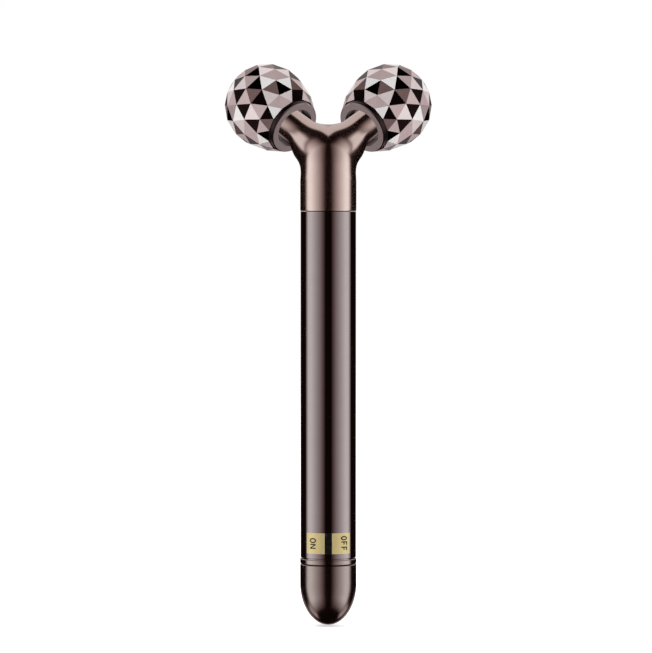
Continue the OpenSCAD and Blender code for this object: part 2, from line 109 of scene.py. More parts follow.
def ramp(tree, value, low, high, start=0.0, end=1.0, smooth=True):
    """value taken from low..high to start..end and held there."""
    node = put(
        tree,
        "ShaderNodeMapRange",
        {"Value": value, "From Min": low, "From Max": high, "To Min": start, "To Max": end},
        interpolation_type="SMOOTHSTEP" if smooth else "LINEAR",
    )
    return node.outputs["Result"]


def mix_colours(tree, share, first, second):
    """One colour going over into another."""
    node = put(tree, "ShaderNodeMix", data_type="RGBA")
    for socket, value in ((node.inputs[0], share), (node.inputs[6], first), (node.inputs[7], second)):
        if isinstance(value, bpy.types.NodeSocket):
            tree.links.new(value, socket)
        else:
            socket.default_value = value
    return node.outputs[2]


def new_group(name, inputs, outputs):
    """A shader node group with named sockets: the tree, its input node and its output node."""
    tree = bpy.data.node_groups.new(name, "ShaderNodeTree")
    for socket, value in inputs.items():
        kind = "NodeSocketColor" if isinstance(value, tuple) and len(value) == 4 else (
            "NodeSocketVector" if isinstance(value, tuple) else "NodeSocketFloat"
        )
        made = tree.interface.new_socket(socket, in_out="INPUT", socket_type=kind)
        made.default_value = value
    for socket, kind in outputs.items():
        tree.interface.new_socket(socket, in_out="OUTPUT", socket_type=kind)
    return tree, tree.nodes.new("NodeGroupInput"), tree.nodes.new("NodeGroupOutput")


FLOAT, VECTOR = "NodeSocketFloat", "NodeSocketVector"


# ---- Effects that several materials share ----------------------------------------------------


def noise(tree, vector, scale, detail=2.0, roughness=0.5):
    """Plain noise from 0 to 1, its scale in waves per unit of the vector."""
    node = put(
        tree,
        "ShaderNodeTexNoise",
        {"Vector": vector, "Scale": scale, "Detail": detail, "Roughness": roughness},
    )
    return node.outputs["Fac"]


def group_millimetres():
    """Where a point of the piece is, in millimetres."""
    tree, _, out = new_group("Millimetres", {}, {"Place": VECTOR})
    place = put(tree, "ShaderNodeTexCoord").outputs["Object"]
    scaled = put(tree, "ShaderNodeVectorMath", {0: place, "Scale": 1 / MM}, operation="SCALE")
    tree.links.new(scaled.outputs[0], out.inputs["Place"])
    return tree


def group_polish_marks():
    """Hair-fine marks that a polishing mop leaves, lying in two directions."""
    tree, given, out = new_group(
        "Polish marks",
        {"Place": (0.0, 0.0, 0.0), "Fineness": 6.0, "Amount": 0.5},
        {"Marks": FLOAT, "Height": FLOAT},
    )
    marks = None
    for turn, stretch in (((0.4, 0.2, 0.9), (1.0, 14.0, 3.0)), ((1.1, 0.7, -0.5), (12.0, 1.0, 2.0))):
        turned = put(
            tree,
            "ShaderNodeMapping",
            {"Vector": given.outputs["Place"], "Rotation": turn, "Scale": stretch},
        ).outputs["Vector"]
        grain = noise(tree, turned, given.outputs["Fineness"], 3.0, 0.7)
        line = ramp(tree, grain, 0.56, 0.66)
        marks = line if marks is None else math_of(tree, "MAXIMUM", marks, line)
    wide = noise(tree, given.outputs["Place"], 0.35, 2.0)
    marks = math_of(tree, "MULTIPLY", marks, ramp(tree, wide, 0.35, 0.7))
    marks = math_of(tree, "MULTIPLY", marks, given.outputs["Amount"])
    tree.links.new(marks, out.inputs["Marks"])
    tree.links.new(math_of(tree, "MULTIPLY", marks, -1.0), out.inputs["Height"])
    return tree


def group_turning_lines():
    """Fine rings that a lathe tool leaves round an upright part."""
    tree, given, out = new_group(
        "Turning lines",
        {"Place": (0.0, 0.0, 0.0), "Lines per mm": 9.0, "Amount": 0.5},
        {"Lines": FLOAT, "Height": FLOAT},
    )
    squeezed = put(
        tree, "ShaderNodeMapping", {"Vector": given.outputs["Place"], "Scale": (0.03, 0.03, 1.0)}
    ).outputs["Vector"]
    lines = noise(tree, squeezed, given.outputs["Lines per mm"], 3.0, 0.75)
    lines = math_of(tree, "MULTIPLY", math_of(tree, "SUBTRACT", lines, 0.5), given.outputs["Amount"])
    tree.links.new(math_of(tree, "ADD", lines, 0.5), out.inputs["Lines"])
    tree.links.new(lines, out.inputs["Height"])
    return tree


def group_finger_haze():
    """The faint film that hands leave on a polished grip, in patches with fine ridges."""
    tree, given, out = new_group(
        "Finger haze", {"Place": (0.0, 0.0, 0.0), "Patch size": 7.0, "Amount": 0.5}, {"Haze": FLOAT}
    )
    patch_scale = math_of(tree, "DIVIDE", 1.0, given.outputs["Patch size"])
    patch = ramp(tree, noise(tree, given.outputs["Place"], patch_scale, 3.0, 0.55), 0.5, 0.68)
    ridges = put(
        tree,
        "ShaderNodeTexWave",
        {
            "Vector": given.outputs["Place"],
            "Scale": 0.9,
            "Distortion": 9.0,
            "Detail": 1.0,
            "Detail Scale": 0.35,
        },
        wave_type="BANDS",
    ).outputs["Fac"]
    ridged = ramp(tree, ridges, 0.3, 0.75, 0.55, 1.0)
    haze = math_of(tree, "MULTIPLY", math_of(tree, "MULTIPLY", patch, ridged), given.outputs["Amount"])
    tree.links.new(haze, out.inputs["Haze"])
    return tree


def group_moulded_skin():
    """The skin of a moulded part: fine texture, and slow changes of gloss where the melt ran."""
    tree, given, out = new_group(
        "Moulded skin",
        {"Place": (0.0, 0.0, 0.0), "Grain per mm": 7.0, "Amount": 0.5},
        {"Grain": FLOAT, "Flow": FLOAT, "Height": FLOAT},
    )
    grain = noise(tree, given.outputs["Place"], given.outputs["Grain per mm"], 2.0, 0.6)
    long_way = put(
        tree, "ShaderNodeMapping", {"Vector": given.outputs["Place"], "Scale": (0.5, 0.5, 0.12)}
    ).outputs["Vector"]
    flow = noise(tree, long_way, 0.9, 2.0, 0.5)
    height = math_of(tree, "MULTIPLY", math_of(tree, "SUBTRACT", grain, 0.5), given.outputs["Amount"])
    for socket, value in (("Grain", grain), ("Flow", flow), ("Height", height)):
        tree.links.new(value, out.inputs[socket])
    return tree


def group_dulling():
    """Slow patches of air-dulled metal, from 0 to the amount."""
    tree, given, out = new_group(
        "Dulling", {"Place": (0.0, 0.0, 0.0), "Patch size": 3.0, "Amount": 0.5}, {"Dull": FLOAT}
    )
    scale = math_of(tree, "DIVIDE", 1.0, given.outputs["Patch size"])
    patch = ramp(tree, noise(tree, given.outputs["Place"], scale, 5.0, 0.65), 0.4, 0.75)
    tree.links.new(math_of(tree, "MULTIPLY", patch, given.outputs["Amount"]), out.inputs["Dull"])
    return tree


GROUPS = {
    "Millimetres": group_millimetres(),
    "Polish marks": group_polish_marks(),
    "Turning lines": group_turning_lines(),
    "Finger haze": group_finger_haze(),
    "Moulded skin": group_moulded_skin(),
    "Dulling": group_dulling(),
}


def use(tree, name, **values):
    """One of the shared groups, placed in a material with its own values."""
    node = put(tree, "ShaderNodeGroup", node_tree=GROUPS[name])
    for key, value in values.items():
        socket = node.inputs[key.replace("_", " ")]
        if isinstance(value, bpy.types.NodeSocket):
            tree.links.new(value, socket)
        else:
            socket.default_value = value
    return node.outputs


# ---- Materials --------------------------------------------------------------------------------


def start_material(name):
    """A new material with only a Principled shader: the material, its tree and the shader."""
    material = bpy.data.materials.new(name)
    material.use_nodes = True
    tree = material.node_tree
    tree.nodes.clear()
    shader = tree.nodes.new("ShaderNodeBsdfPrincipled")
    out = tree.nodes.new("ShaderNodeOutputMaterial")
    tree.links.new(shader.outputs["BSDF"], out.inputs["Surface"])
    return material, tree, shader


def bumped(tree, shader, height, depth_mm, strength=1.0):
    """Height from a group, as small relief of that real depth."""
    node = put(tree, "ShaderNodeBump", {"Height": height, "Distance": depth_mm * MM, "Strength": strength})
    tree.links.new(node.outputs["Normal"], shader.inputs["Normal"])


def polished_metal(
    name, colour, dark_colour, roughness, marks=0.5, haze=0.3, depth=0.0006, dull=0.3, lines=0.0
):
    """Polished or satin metal: mop marks, haze from hands and slightly duller patches."""
    material, tree, shader = start_material(name)
    place = use(tree, "Millimetres")["Place"]
    polish = use(tree, "Polish marks", Place=place, Amount=marks)
    film = use(tree, "Finger haze", Place=place, Amount=haze)["Haze"]
    patches = use(tree, "Dulling", Place=place, Amount=dull)["Dull"]
    rough = math_of(tree, "ADD", roughness, math_of(tree, "MULTIPLY", polish["Marks"], 0.10))
    rough = math_of(tree, "ADD", rough, math_of(tree, "MULTIPLY", film, 0.12))
    height = polish["Height"]
    if lines:
        turned = use(tree, "Turning lines", Place=place, Amount=lines)
        height = math_of(tree, "ADD", height, turned["Height"])
        rough = math_of(tree, "ADD", rough, math_of(tree, "MULTIPLY", turned["Height"], 0.08))
    tree.links.new(mix_colours(tree, patches, colour, dark_colour), shader.inputs["Base Color"])
    tree.links.new(rough, shader.inputs["Roughness"])
    shader.inputs["Metallic"].default_value = 1.0
    bumped(tree, shader, height, depth)
    return material


def moulded_plastic(name, colour, second, roughness, grain=0.5, depth=0.004):
    """Injection-moulded plastic with its fine skin and flow marks."""
    material, tree, shader = start_material(name)
    place = use(tree, "Millimetres")["Place"]
    skin = use(tree, "Moulded skin", Place=place, Amount=grain)
    tree.links.new(mix_colours(tree, skin["Flow"], colour, second), shader.inputs["Base Color"])
    rough = math_of(tree, "ADD", roughness - 0.06, math_of(tree, "MULTIPLY", skin["Flow"], 0.12))
    tree.links.new(rough, shader.inputs["Roughness"])
    bumped(tree, shader, skin["Height"], depth)
    return material


fork_metal = polished_metal(
    "Champagne bronze satin",
    (0.80, 0.665, 0.61, 1),
    (0.70, 0.565, 0.51, 1),
    0.17, marks=0.2, haze=0.15, depth=0.0003,
)
tube_metal = polished_metal(
    "Mauve grey gloss",
    (0.45, 0.40, 0.405, 1),
    (0.40, 0.35, 0.355, 1),
    0.06, marks=0.25, haze=0.35, depth=0.0002,
)
cap_metal = polished_metal(
    "Bronze cap satin",
    (0.44, 0.375, 0.355, 1),
    (0.38, 0.315, 0.295, 1),
    0.15, marks=0.4, haze=0.25, lines=0.3,
)
trim_metal = polished_metal(
    "Trim ring bronze", (0.50, 0.43, 0.405, 1), (0.44, 0.37, 0.34, 1), 0.12, marks=0.3, haze=0.2, lines=0.4
)
bore_metal = polished_metal(
    "Rose chrome bore", (0.60, 0.50, 0.50, 1), (0.50, 0.40, 0.40, 1), 0.3, marks=0.6, haze=0.1
)
ring_metal = polished_metal(
    "Neck ring grey", (0.44, 0.375, 0.38, 1), (0.38, 0.32, 0.325, 1), 0.26, marks=0.5, haze=0.2
)
# Painted shade: near-black metal for the rims and bores of the neck rings, standing in for the shadowed gap
# beside the balls
ring_side_painted_shade = polished_metal(
    "Ring side painted shade", (0.045, 0.032, 0.032, 1), (0.03, 0.02, 0.02, 1), 0.3, marks=0.5, haze=0.2
)
steel = polished_metal(
    "Bright steel",
    (0.62, 0.61, 0.60, 1),
    (0.50, 0.49, 0.47, 1),
    0.2, marks=0.8, haze=0.1, depth=0.001, dull=0.6,
)
brass = polished_metal(
    "Contact brass",
    (0.80, 0.60, 0.28, 1),
    (0.58, 0.40, 0.17, 1),
    0.22, marks=0.8, haze=0.1, depth=0.001, dull=0.8,
)
spring_steel = polished_metal(
    "Plated spring wire",
    (0.70, 0.69, 0.66, 1),
    (0.52, 0.50, 0.46, 1),
    0.2, marks=0.7, haze=0.05, depth=0.001, dull=0.6,
)
white_plastic = moulded_plastic("Ivory moulding", (0.72, 0.70, 0.64, 1), (0.66, 0.635, 0.57, 1), 0.42)
dark_plastic = moulded_plastic("Charcoal moulding", (0.045, 0.043, 0.045, 1), (0.06, 0.057, 0.058, 1), 0.45)
rubber = moulded_plastic("O-ring rubber", (0.018, 0.018, 0.019, 1), (0.03, 0.029, 0.028, 1), 0.62, 0.8, 0.006)
red_wire = moulded_plastic("Red lead sleeve", (0.52, 0.03, 0.02, 1), (0.42, 0.02, 0.015, 1), 0.4)
black_wire = moulded_plastic("Black lead sleeve", (0.02, 0.02, 0.02, 1), (0.035, 0.033, 0.033, 1), 0.4)


def foil_material():
    """Gold label foil: hairline brushing along the tube, and the dull speckle of its embossing."""
    material, tree, shader = start_material("Gold label foil")
    place = use(tree, "Millimetres")["Place"]
    along = put(tree, "ShaderNodeMapping", {"Vector": place, "Scale": (9.0, 9.0, 0.25)}).outputs["Vector"]
    hairline = noise(tree, along, 2.0, 3.0, 0.7)
    speckle = noise(tree, place, 5.0, 2.0, 0.7)
    gold = mix_colours(tree, hairline, (0.80, 0.68, 0.34, 1), (0.70, 0.56, 0.24, 1))
    gold = mix_colours(tree, ramp(tree, speckle, 0.5, 0.75, 0.0, 0.35), gold, (0.86, 0.77, 0.48, 1))
    tree.links.new(gold, shader.inputs["Base Color"])
    rough = math_of(tree, "ADD", 0.22, math_of(tree, "MULTIPLY", hairline, 0.16))
    tree.links.new(rough, shader.inputs["Roughness"])
    shader.inputs["Metallic"].default_value = 0.5
    bumped(tree, shader, math_of(tree, "ADD", hairline, speckle), 0.002)
    return material


def enamel_material():
    """Black printed enamel: deep gloss with a faint brush of dust."""
    material, tree, shader = start_material("Black enamel print")
    place = use(tree, "Millimetres")["Place"]
    film = use(tree, "Finger haze", Place=place, Patch_size=1.4, Amount=0.8)["Haze"]
    skin = use(tree, "Moulded skin", Place=place, Grain_per_mm=12.0, Amount=0.4)
    black = mix_colours(tree, film, (0.006, 0.006, 0.007, 1), (0.02, 0.019, 0.02, 1))
    tree.links.new(black, shader.inputs["Base Color"])
    rough = math_of(tree, "ADD", 0.18, math_of(tree, "MULTIPLY", film, 0.2))
    tree.links.new(rough, shader.inputs["Roughness"])
    bumped(tree, shader, skin["Height"], 0.002)
    return material


def cell_material():
    """The plain sleeve of a dry cell, green and bare of print, with scuffs from handling."""
    material, tree, shader = start_material("Dry cell sleeve")
    place = use(tree, "Millimetres")["Place"]
    scuff = use(tree, "Polish marks", Place=place, Fineness=3.0, Amount=0.8)
    patches = use(tree, "Dulling", Place=place, Amount=0.5)["Dull"]
    body = mix_colours(tree, patches, (0.10, 0.30, 0.16, 1), (0.13, 0.33, 0.19, 1))
    tree.links.new(body, shader.inputs["Base Color"])
    rough = math_of(tree, "ADD", 0.24, math_of(tree, "MULTIPLY", scuff["Marks"], 0.25))
    tree.links.new(rough, shader.inputs["Roughness"])
    shader.inputs["Metallic"].default_value = 0.2
    bumped(tree, shader, scuff["Height"], 0.002)
    return material


def painted_facet_tone(name, colour, worn, metal, coat=0.3):
    """One painted tone of the ball's facets, from near black to near white: the rose tint is the real finish,
    the spread from dark to white is painted reflection of the studio.
    """
    material, tree, shader = start_material(name)
    place = use(tree, "Millimetres")["Place"]
    polish = use(tree, "Polish marks", Place=place, Fineness=9.0, Amount=0.4)
    film = use(tree, "Finger haze", Place=place, Patch_size=5.0, Amount=0.3)["Haze"]
    patches = use(tree, "Dulling", Place=place, Patch_size=2.5, Amount=0.6)["Dull"]
    tree.links.new(mix_colours(tree, patches, colour, worn), shader.inputs["Base Color"])
    rough = math_of(tree, "ADD", 0.05, math_of(tree, "MULTIPLY", polish["Marks"], 0.08))
    rough = math_of(tree, "ADD", rough, math_of(tree, "MULTIPLY", film, 0.10))
    tree.links.new(rough, shader.inputs["Roughness"])
    shader.inputs["Metallic"].default_value = metal
    shader.inputs["Coat Weight"].default_value = coat
    shader.inputs["Coat Roughness"].default_value = 0.04
    bumped(tree, shader, polish["Height"], 0.0003)
    return material


# Painted reflections: five fixed tones from black to white for the facets, in place of the reflections that
# one polished rose finish would show
FACET_PAINTED_TONES = {
    "D": painted_facet_tone("Facet painted dark reflection", (0.012, 0.006, 0.006, 1), (0.016, 0.009, 0.009, 1), 1.0, 0.0),
    "B": painted_facet_tone("Facet painted brown reflection", (0.20, 0.13, 0.125, 1), (0.17, 0.11, 0.105, 1), 0.4),
    "R": painted_facet_tone("Facet painted rose reflection", (0.60, 0.47, 0.47, 1), (0.55, 0.43, 0.43, 1), 0.35),
    "P": painted_facet_tone("Facet painted pale reflection", (0.80, 0.70, 0.70, 1), (0.76, 0.66, 0.66, 1), 0.35),
    "W": painted_facet_tone("Facet painted white highlight", (0.96, 0.94, 0.93, 1), (0.91, 0.89, 0.88, 1), 0.3),
}
foil, enamel, cell_wrap = foil_material(), enamel_material(), cell_material()


# ---- The fork, smooth where three limbs flow into one another -----------------------------------

CALM_ROUNDS = 600  # how often the skin's shading normals are averaged
LEAN, SPLAY = math.radians(51), math.radians(37.9)
HUB = np.array([0.0, 0.0, 17.1])
ARM_LEN, ARM_ROOT_R, ARM_TIP_R = 20.0, 5.65, 4.75
COLLAR_R = 8.5
NECK_Z = 10.0
CROTCH_BLEND, NECK_BLEND, ELBOW_BLEND = 6.7, 2.8, 2.4
NECK_TOP = 8.8
ELBOW_LOW = (1.08, -0.62, 16.58)  # a fuller stretch in each elbow: its lower end, for the right limb
ELBOW_ALONG, ELBOW_OUT = 7.45, 1.33  # its upper end, along the arm and across it, down and out
ELBOW_LOW_R, ELBOW_TOP_R = 6.6, 5.5
COLLAR_EDGE = 0.2
SPIGOT_R, SPIGOT_LEN = 7.0, 9.2
AXLE_R = 2.0
ROD_LEN = ARM_LEN + 4
ROD_TIP_R = ARM_ROOT_R + (ARM_TIP_R - ARM_ROOT_R) * ROD_LEN / ARM_LEN


def arm_direction(side):
    return np.array(
        [side * math.sin(SPLAY), math.cos(SPLAY) * math.sin(LEAN), math.cos(SPLAY) * math.cos(LEAN)]
    )


def rod_distance(p, a, b, ra, rb):
    """Distance of points from a tapered rod."""
    ab = b - a
    t = np.clip((p - a) @ ab / (ab @ ab), 0, 1)
    return np.linalg.norm(p - a - t[..., None] * ab, axis=-1) - ra - t * (rb - ra)


def blend_distance(a, b, reach):
    h = np.maximum(reach - np.abs(a - b), 0) / reach
    return np.minimum(a, b) - h * h * reach / 4


def fork_distance(p):
    limbs = []
    for side in (-1, 1):
        way = arm_direction(side)
        arm = rod_distance(p, HUB, HUB + way * ROD_LEN, ARM_ROOT_R, ROD_TIP_R)
        low = np.array(ELBOW_LOW) * (side, 1, 1)
        across = np.cross(way, (0.0, 1.0, 0.0)) * side
        top = HUB + way * ELBOW_ALONG - across / np.linalg.norm(across) * ELBOW_OUT
        limbs.append(blend_distance(arm, rod_distance(p, low, top, ELBOW_LOW_R, ELBOW_TOP_R), ELBOW_BLEND))
    neck = rod_distance(p, np.array([0, 0, -COLLAR_R]), np.array([0, 0, NECK_TOP]), COLLAR_R, COLLAR_R)
    return blend_distance(blend_distance(*limbs, CROTCH_BLEND), neck, NECK_BLEND)


def calm_normals(piece, count, rounds):
    """Shading normals of the first points, averaged with their neighbours, so that no crease shows."""
    mesh = piece.data
    ends = np.array([edge.vertices[:] for edge in mesh.edges])
    ends = ends[(ends < count).all(axis=1)]
    normals = np.array([vertex.normal[:] for vertex in mesh.vertices])
    neighbours = np.maximum(np.bincount(ends.ravel(), minlength=count), 1)[:, None]
    calm = normals[:count].copy()
    for _ in range(rounds):
        total = np.stack(
            [
                np.bincount(ends[:, 0], calm[ends[:, 1], k], count)
                + np.bincount(ends[:, 1], calm[ends[:, 0], k], count)
                for k in range(3)
            ],
            axis=1,
        )
        calm += 0.5 * (total / neighbours - calm)
        calm /= np.linalg.norm(calm, axis=1)[:, None]
    corners = np.array([corner.vector[:] for corner in mesh.corner_normals])
    at = np.array([loop.vertex_index for loop in mesh.loops])
    share = np.clip((np.einsum("ij,ij->i", corners, normals[at]) - 0.9) / 0.09, 0, 1)[:, None]
    inside = (at < count)[:, None]
    wanted = np.where(inside, calm[np.minimum(at, count - 1)] * share + corners * (1 - share), corners)
    mesh.normals_split_custom_set([tuple(n) for n in wanted])


def skin_points(centres, ways, far=16.0, steps=24):
    """Where rays from inside the fork leave its skin, found by halving."""
    near, far = np.zeros(len(ways)), np.full(len(ways), far)
    for _ in range(steps):
        mid = (near + far) / 2
        outside = fork_distance(centres + ways * mid[:, None]) > 0
        far = np.where(outside, mid, far)
        near = np.where(outside, near, mid)
    return centres + ways * near[:, None]


def fork_piece():
    """The three limbs as one net of points that meet in seams, closed by the collar and the arm ends."""
    half = 72  # steps along each seam
    around = 2 * half
    rows = (24, 64, 64)
    ways = [np.array([0.0, 0.0, -1.0]), arm_direction(-1), arm_direction(1)]
    lengths = (HUB[2] - NECK_Z, ARM_LEN, ARM_LEN)
    pole = np.cross(ways[1] - ways[0], ways[2] - ways[0])
    pole = -pole / np.linalg.norm(pole)
    seams = []
    for first, second in ((0, 1), (1, 2), (2, 0)):
        middle = ways[first] + ways[second]
        middle = middle - (middle @ pole) * pole
        middle /= np.linalg.norm(middle)
        t = np.linspace(0, math.pi, half + 1)[:, None]
        seams.append(skin_points(np.tile(HUB, (half + 1, 1)), pole * np.cos(t) + middle * np.sin(t)))
    points = [seams[0][0], seams[0][half]]
    seam_index = []
    skin_rows = []
    for seam in seams:
        start = len(points)
        points.extend(seam[1:half])
        seam_index.append([0] + [start + i for i in range(half - 1)] + [1])
    faces = []

    def join(ring, following):
        count = len(ring)
        for j in range(count):
            faces.append((ring[j], following[j], following[(j + 1) % count], ring[(j + 1) % count]))

    def add_ring(ring_points):
        start = len(points)
        points.extend(ring_points)
        return list(range(start, start + len(ring_points)))

    for limb, (near_seam, far_seam) in enumerate(((0, 2), (1, 0), (2, 1))):
        way = ways[limb]
        e1 = pole - (pole @ way) * way
        e1 /= np.linalg.norm(e1)
        e2 = np.cross(way, e1)
        base = [seam_index[near_seam][j] for j in range(half + 1)]
        base += [seam_index[far_seam][around - j] for j in range(half + 1, around)]
        at = np.array([points[i] for i in base])
        along = (at - HUB) @ way
        out = at - HUB - along[:, None] * way
        angle = np.arctan2(out @ e2, out @ e1)
        even = 2 * math.pi * np.arange(around) / around
        angle = np.where(angle < -1e-9, angle + 2 * math.pi, angle)
        angle[0] = 0
        ring = base
        for row in range(1, rows[limb] + 1):
            u = row / rows[limb]
            a = angle + (even - angle) * u
            centres = HUB + np.outer(along + (lengths[limb] - along) * u, way)
            v = np.outer(np.cos(a), e1) + np.outer(np.sin(a), e2)
            following = add_ring(skin_points(centres, v))
            skin_rows += following
            join(ring, following)
            ring = following
        v = np.outer(np.cos(even), e1) + np.outer(np.sin(even), e2)
        if limb == 0:  # the collar, its edge, the socket for the spigot and the socket's roof
            steps = [(COLLAR_R, z) for z in np.linspace(NECK_Z, COLLAR_EDGE, 12)[1:]]
            steps += [(COLLAR_R - 0.06, 0.06), (COLLAR_R - COLLAR_EDGE, 0)]
            steps += [(SPIGOT_R + 0.15, 0), (SPIGOT_R, 0.15), (SPIGOT_R, SPIGOT_LEN)]
            profile = [(radius, HUB[2] - z) for radius, z in steps]
        else:  # the arm's end, its edge and the hole for the axle
            end_r = float(np.linalg.norm(points[ring[0]] - HUB - ARM_LEN * way))
            profile = [(end_r - 0.5, ARM_LEN), (AXLE_R + 0.1, ARM_LEN)]
            profile += [(AXLE_R, ARM_LEN - 0.1), (AXLE_R, ARM_LEN - 3)]
        for radius, distance in profile:
            following = add_ring(HUB + distance * way + radius * v)
            join(ring, following)
            ring = following
        faces.append(tuple(ring))
    skin = set(skin_rows) | {i for seam in seam_index for i in seam}
    order = sorted(skin) + [i for i in range(len(points)) if i not in skin]
    new_place = {old: new for new, old in enumerate(order)}
    points = [points[i] for i in order]
    faces = [tuple(new_place[i] for i in face) for face in faces]
    piece = mesh_piece("fork_skin", points, faces, "head", 40)
    calm_normals(piece, len(skin), CALM_ROUNDS)
    return piece


fork_skin = fork_piece()
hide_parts("fork")


# ---- ON and OFF, raised strokes on the two gold plates -----------------------------------------

LABEL_R = 8.49
STROKE = 0.36
STROKE_PROUD = 0.05
LETTER_H = 1.9


def letter_strokes(letter, width):
    """A letter's strokes as lines of points, in a cell of that width and height 1."""
    if letter == "O":
        turn = np.linspace(0, 2 * math.pi, 25)
        return [[(width / 2 + width / 2 * math.cos(a), 0.5 + 0.5 * math.sin(a)) for a in turn]]
    if letter == "N":
        return [[(0, 0), (0, 1)], [(0, 1), (width, 0)], [(width, 0), (width, 1)]]
    return [[(0, 0), (0, 1), (width, 1)], [(0, 0.5), (width * 0.85, 0.5)]]


def ribbon(line, width):
    """The two edges of a stroke along a line of points, with mitred corners."""
    line = np.array(line, float)
    closed = np.allclose(line[0], line[-1])
    steps = np.diff(line, axis=0)
    steps /= np.linalg.norm(steps, axis=1)[:, None]
    before = np.vstack([steps[-1:] if closed else steps[:1], steps])
    after = np.vstack([steps, steps[:1] if closed else steps[-1:]])
    side = np.stack([-(before + after)[:, 1], (before + after)[:, 0]], axis=1)
    side /= np.linalg.norm(side, axis=1)[:, None]
    lift = width / 2 / np.maximum(0.35, np.abs((side * np.stack([-after[:, 1], after[:, 0]], 1)).sum(1)))
    return line + side * lift[:, None], line - side * lift[:, None]


def word_piece(name, word, azimuth, middle_z, letter_width, gap):
    """A word read from top to bottom, wrapped round the tube at an azimuth from the front."""
    length = len(word) * letter_width + (len(word) - 1) * gap
    points, faces = [], []
    for k, letter in enumerate(word):
        for line in letter_strokes(letter, letter_width / LETTER_H):
            for edge_a, edge_b in [ribbon(np.array(line) * LETTER_H, STROKE)]:
                start = len(points)
                for a, b in zip(edge_a, edge_b):
                    for p in (a, b):
                        down = k * (letter_width + gap) + p[0] - length / 2
                        across = p[1] - LETTER_H / 2
                        for r in (LABEL_R, LABEL_R + STROKE_PROUD):
                            turn = math.radians(azimuth) + across / LABEL_R
                            points.append((r * math.sin(turn), -r * math.cos(turn), middle_z - down))
                count = len(edge_a)
                for i in range(count - 1):
                    q = start + 4 * i
                    faces += [
                        (q + 1, q + 5, q + 7, q + 3),
                        (q, q + 2, q + 6, q + 4),
                        (q, q + 4, q + 5, q + 1),
                        (q + 2, q + 3, q + 7, q + 6),
                    ]
                q = start + 4 * (count - 1)
                faces += [(start, start + 1, start + 3, start + 2), (q, q + 2, q + 3, q + 1)]
    return mesh_piece(name, np.array(points), faces, "handle", 50)


label_low, label_high = mm_box("label_plates")
LABEL_Z = (label_low[2] + label_high[2]) / 2
word_piece("word_on", "ON", -33.5, LABEL_Z, 1.15, 0.6)
word_piece("word_off", "OFF", 34.0, LABEL_Z, 0.95, 0.65)


# ---- What each piece is made of ----------------------------------------------------------------

FINISHES = {
    "fork_skin": fork_metal,
    "word_on": enamel,
    "word_off": enamel,
    "handle_tube": tube_metal,
    "trim_ring": trim_metal,
    "end_cap": cap_metal,
    "label_plates": foil,
    "label_bar": enamel,
    "head_plug": dark_plastic,
    "contact_carrier": white_plastic,
    "motor_end_bell": white_plastic,
    "tail_socket": white_plastic,
    "cap_core": dark_plastic,
    "head_o_ring": rubber,
    "cap_o_ring": rubber,
    "ground_ring": brass,
    "battery_contact": brass,
    "motor_terminals": brass,
    "spring_plate": brass,
    "tube_contact": brass,
    "cap_wiper": brass,
    "motor_can": steel,
    "motor_shaft": steel,
    "eccentric_weight": steel,
    "battery_terminals": steel,
    "tail_spring": spring_steel,
    "battery_cell": cell_wrap,
    "positive_lead": red_wire,
    "ground_lead": black_wire,
}
for side in ("left", "right"):
    FINISHES |= {
        f"{side}_axle": steel,
        f"{side}_thrust_washer": white_plastic,
        f"{side}_end_washer": steel,
        f"{side}_axle_screw": steel,
        f"{side}_roller_shell": bore_metal,
        f"{side}_roller_ring": ring_metal,
        f"{side}_roller_bush": white_plastic,
    }

for name, material in FINISHES.items():
    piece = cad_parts.get(name) or bpy.data.objects[name]
    piece.data.materials.clear()
    piece.data.materials.append(material)
    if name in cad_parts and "roller_shell" not in name:
        soften(piece, 35)


def paint_ring_side_shade(ring, way):
    """Painted shade on a neck ring: its faces that run along the axle, the outer rim and the bore, are
    coloured near black for the shade in the gap beside the ball.
    """
    ring.data.materials.append(ring_side_painted_shade)
    for face in ring.data.polygons:
        if abs(face.normal.dot(way)) < 0.3:
            face.material_index = 1


# Each neck ring's rim and bore get the near-black painted shade
for side, sign in (("left", -1), ("right", 1)):
    paint_ring_side_shade(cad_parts[f"{side}_roller_ring"], Vector(arm_direction(sign)))

BALL_S, BALL_R, FACETS = 30.65, 13.1, 14
BALL_ROWS = [(-0.951, 0.692), (-0.695, 0.835)]
BALL_ROWS += [(math.cos(math.radians(a)), math.sin(math.radians(a))) for a in (109, 89.5, 70, 50.5, 31)]
# The painted reflection tones follow one another round each band, over and over, and each band starts further
# on
PAINTED_TONE_ROUND = "DRWBDPR"
BAND_STEP = 2


